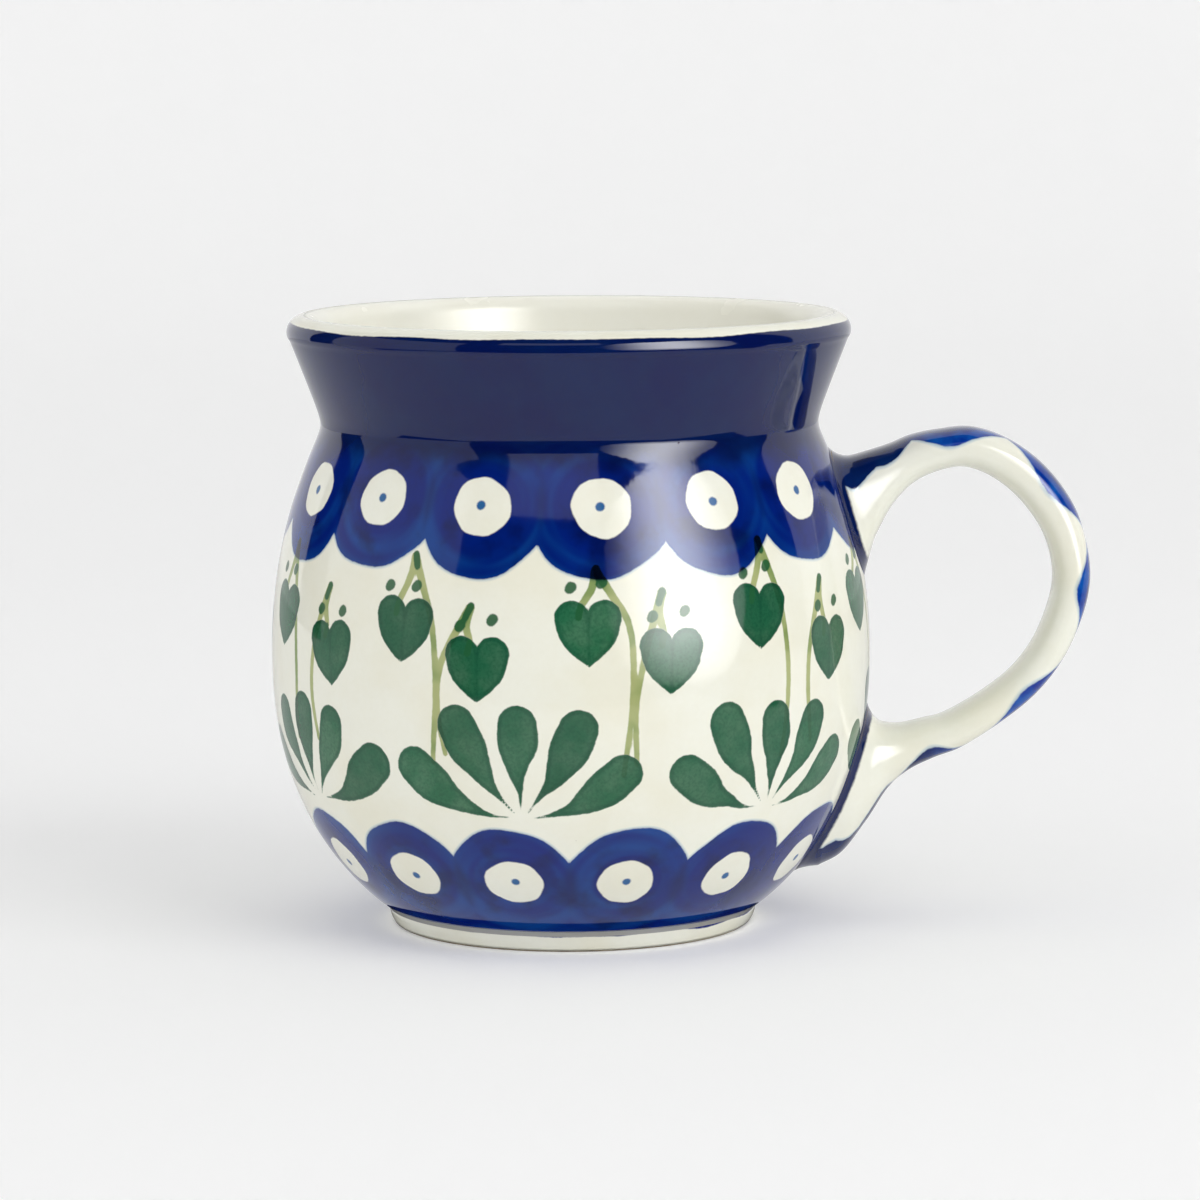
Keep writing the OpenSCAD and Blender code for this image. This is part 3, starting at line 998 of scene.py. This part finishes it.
def studio_floor():
    """A pale floor that curves up into a backdrop all round."""
    flat = [(r, 0) for r in np.r_[1, np.linspace(50, FLOOR_R, 20)]]
    curve = arc((FLOOR_R, BACKDROP_CURVE), BACKDROP_CURVE, -90, 0, 24)[1:]
    outline = np.vstack([flat, curve, [(FLOOR_R + BACKDROP_CURVE, BACKDROP_H)]])
    columns = 96
    turn = np.radians(np.arange(columns) / columns * 360)
    grid = np.stack([outline[:, 0][:, None] * np.sin(turn), -outline[:, 0][:, None] * np.cos(turn),
                     outline[:, 1][:, None] * np.ones(columns)], -1)
    faces = ring_faces(len(outline), columns, False)
    faces.append(tuple(range(columns))[::-1])
    floor = new_object("studio_floor", grid.reshape(-1, 3), faces)
    away = np.linalg.norm(grid.reshape(-1, 3), axis=1)
    share = np.clip((away - GLOW_START) / (GLOW_FULL - GLOW_START), 0, 1)
    add_values(floor, "glow", FLOOR_GLOW + GLOW * share)
    floor.data.materials.append(glowing_paper("studio_paper", 0.84, "glow"))
    floor.visible_glossy = False


# The table that the glaze mirrors, in mm: the front edge and the sides of its narrow front part,
# where its wide back part starts and how far that reaches back and to each side, the radius of
# its opening, and its height over the floor.
TABLE_FRONT = -248
TABLE_SIDES = (-253, 215)
TABLE_BACK_FROM = -50
TABLE_BACK = 750
SHADE_R = 32
TABLE_Z = 0.3
# Most of its brightness is a glow, which mirrors without grain.
TABLE_GLOW = 0.46


def table_top():
    """The stretch of table that the glaze mirrors. The camera sees the floor in its place. It is
    open under the mug, where the real table lies in the mug's own shade."""
    left, right = TABLE_SIDES
    front = [(left, TABLE_FRONT), (right, TABLE_FRONT), (right, TABLE_BACK_FROM),
             (left, TABLE_BACK_FROM)]
    turns = np.radians(np.linspace(0, 180, 48))
    half = [(0, TABLE_BACK_FROM)]
    half += [(SHADE_R * math.sin(turn), -SHADE_R * math.cos(turn)) for turn in turns]
    half += [(0, TABLE_BACK), (TABLE_BACK, TABLE_BACK), (TABLE_BACK, TABLE_BACK_FROM)]
    points, faces = [], []
    for outline in (front, half, [(-x, y) for x, y in reversed(half)]):
        faces.append(tuple(range(len(points), len(points) + len(outline))))
        points += [(x, y, TABLE_Z) for x, y in outline]
    table = new_object("table_top", points, faces)
    table.data.materials.append(glowing_paper("table_paper", 0.25, TABLE_GLOW))
    table.visible_camera = table.visible_diffuse = table.visible_shadow = False


# How far from the mug's middle the glowing panels stand, in mm.
REFLECTOR_R = 1500


def reflector(name, middle, half, glow, steps=64):
    """A glowing panel that only the glaze mirrors. Its middle and half size are turns and lifts in
    degrees, and glow gives its brightness at (across, up), both from -1 to 1."""
    across = np.linspace(-1, 1, steps)[None, :] * np.ones((steps, 1))
    up = np.linspace(-1, 1, steps)[:, None] * np.ones((1, steps))
    turn = np.radians(middle[0] + half[0] * across)
    lift = np.radians(middle[1] + half[1] * up)
    points = REFLECTOR_R * np.stack([np.cos(lift) * np.sin(turn), -np.cos(lift) * np.cos(turn),
                                     np.sin(lift)], -1)
    points[..., 2] += BELLY_Z
    faces = []
    for i in range(steps - 1):
        for j in range(steps - 1):
            a = i * steps + j
            faces.append((a, a + 1, a + 1 + steps, a + steps))
    panel = new_object(name, points.reshape(-1, 3), faces)
    add_values(panel, "glow", glow(across, up))
    material = bpy.data.materials.new(name)
    material.use_nodes = True
    nodes, links = material.node_tree.nodes, material.node_tree.links
    nodes.clear()
    emission = nodes.new("ShaderNodeEmission")
    stored = nodes.new("ShaderNodeAttribute")
    stored.attribute_name = "glow"
    output = nodes.new("ShaderNodeOutputMaterial")
    links.new(stored.outputs["Fac"], emission.inputs["Strength"])
    links.new(emission.outputs["Emission"], output.inputs["Surface"])
    panel.data.materials.append(material)
    panel.visible_camera = panel.visible_diffuse = panel.visible_shadow = False


def even_glow(strength):
    return lambda across, up: strength * np.ones(across.shape)


def round_softbox_glow(across, up):
    """A round softbox: brightest down its middle, fading to its sides and its lower edge."""
    inside = np.abs(across) ** 2.6 + np.abs(up) ** 2.6 < 1
    middle = np.cos(across * math.pi / 2) ** 2
    foot = np.clip((up + 1) / 0.45, 0, 1)
    return inside * (0.9 + 0.5 * across + 9.5 * middle * foot)


def soft_light(name, turn, lift, distance, size, power):
    """A square lamp that faces the mug and isn't mirrored in it. turn and lift are in degrees,
    distance and size in metres, power in watts."""
    data = bpy.data.lights.new(name, "AREA")
    data.shape = "SQUARE"
    data.size = size
    data.energy = power
    lamp = bpy.data.objects.new(name, data)
    turn, lift = math.radians(turn), math.radians(lift)
    back = Vector((math.cos(lift) * math.sin(turn), -math.cos(lift) * math.cos(turn), math.sin(lift)))
    lamp.location = Vector((0, 0, BELLY_Z * MM)) + back * distance
    lamp.rotation_euler = back.to_track_quat("Z", "Y").to_euler()
    lamp.visible_camera = lamp.visible_glossy = False
    bpy.context.scene.collection.objects.link(lamp)


def studio_lights():
    """Lamps that light the mug, the panels that its glaze mirrors, and a nearly black room."""
    soft_light("key_right", turn=48, lift=32, distance=1.6, size=1.1, power=7.2)
    soft_light("fill_left", turn=-70, lift=25, distance=1.6, size=1.1, power=1.0)
    soft_light("overhead", turn=0, lift=88, distance=1.9, size=2.4, power=9.5)
    reflector("window_left", middle=(-77.5, 13), half=(32, 23), glow=even_glow(0.58))
    reflector("softbox_right", middle=(42, 15.5), half=(28.5, 23.5), glow=round_softbox_glow)
    reflector("panel_front", middle=(-8, 37), half=(22, 6), glow=even_glow(0.75))
    reflector("room_behind", middle=(166.5, 29), half=(65.5, 41), glow=even_glow(0.85))
    world = bpy.data.worlds.new("studio")
    world.use_nodes = True
    world.node_tree.nodes["Background"].inputs["Color"].default_value = (0.01, 0.01, 0.01, 1)
    bpy.context.scene.world = world


# The camera stands in front of the mug and a little above it, in metres, with a long lens, in
# mm. It looks down, and is turned and rolled a little, in radians.
CAMERA_BACK = 0.800
CAMERA_UP = 0.1543
CAMERA_LENS = 147.65
CAMERA_DOWN = 0.1262
CAMERA_YAW = 0.0060
CAMERA_ROLL = 0.0060


def main_camera():
    """The scene's camera, placed and aimed by the values above."""
    data = bpy.data.cameras.new("camera")
    data.lens = CAMERA_LENS
    data.sensor_width = 36
    data.clip_start = 0.05
    camera = bpy.data.objects.new("camera", data)
    yaw, down = CAMERA_YAW, CAMERA_DOWN
    forward = Vector((math.sin(yaw) * math.cos(down), math.cos(yaw) * math.cos(down), -math.sin(down)))
    right = Vector((math.cos(yaw), -math.sin(yaw), 0))
    up = right.cross(forward)
    cos, sin = math.cos(CAMERA_ROLL), math.sin(CAMERA_ROLL)
    axes = (right * cos - up * sin, right * sin + up * cos, -forward)
    turned = Matrix(axes).transposed().to_4x4()
    camera.matrix_world = Matrix.Translation((0, -CAMERA_BACK, CAMERA_UP)) @ turned
    bpy.context.scene.collection.objects.link(camera)
    bpy.context.scene.camera = camera


painted_outside()
clear_inside()
handle()
finish_cad_nodes()
studio_floor()
table_top()
studio_lights()
main_camera()
bpy.context.scene.view_settings.view_transform = "Standard"
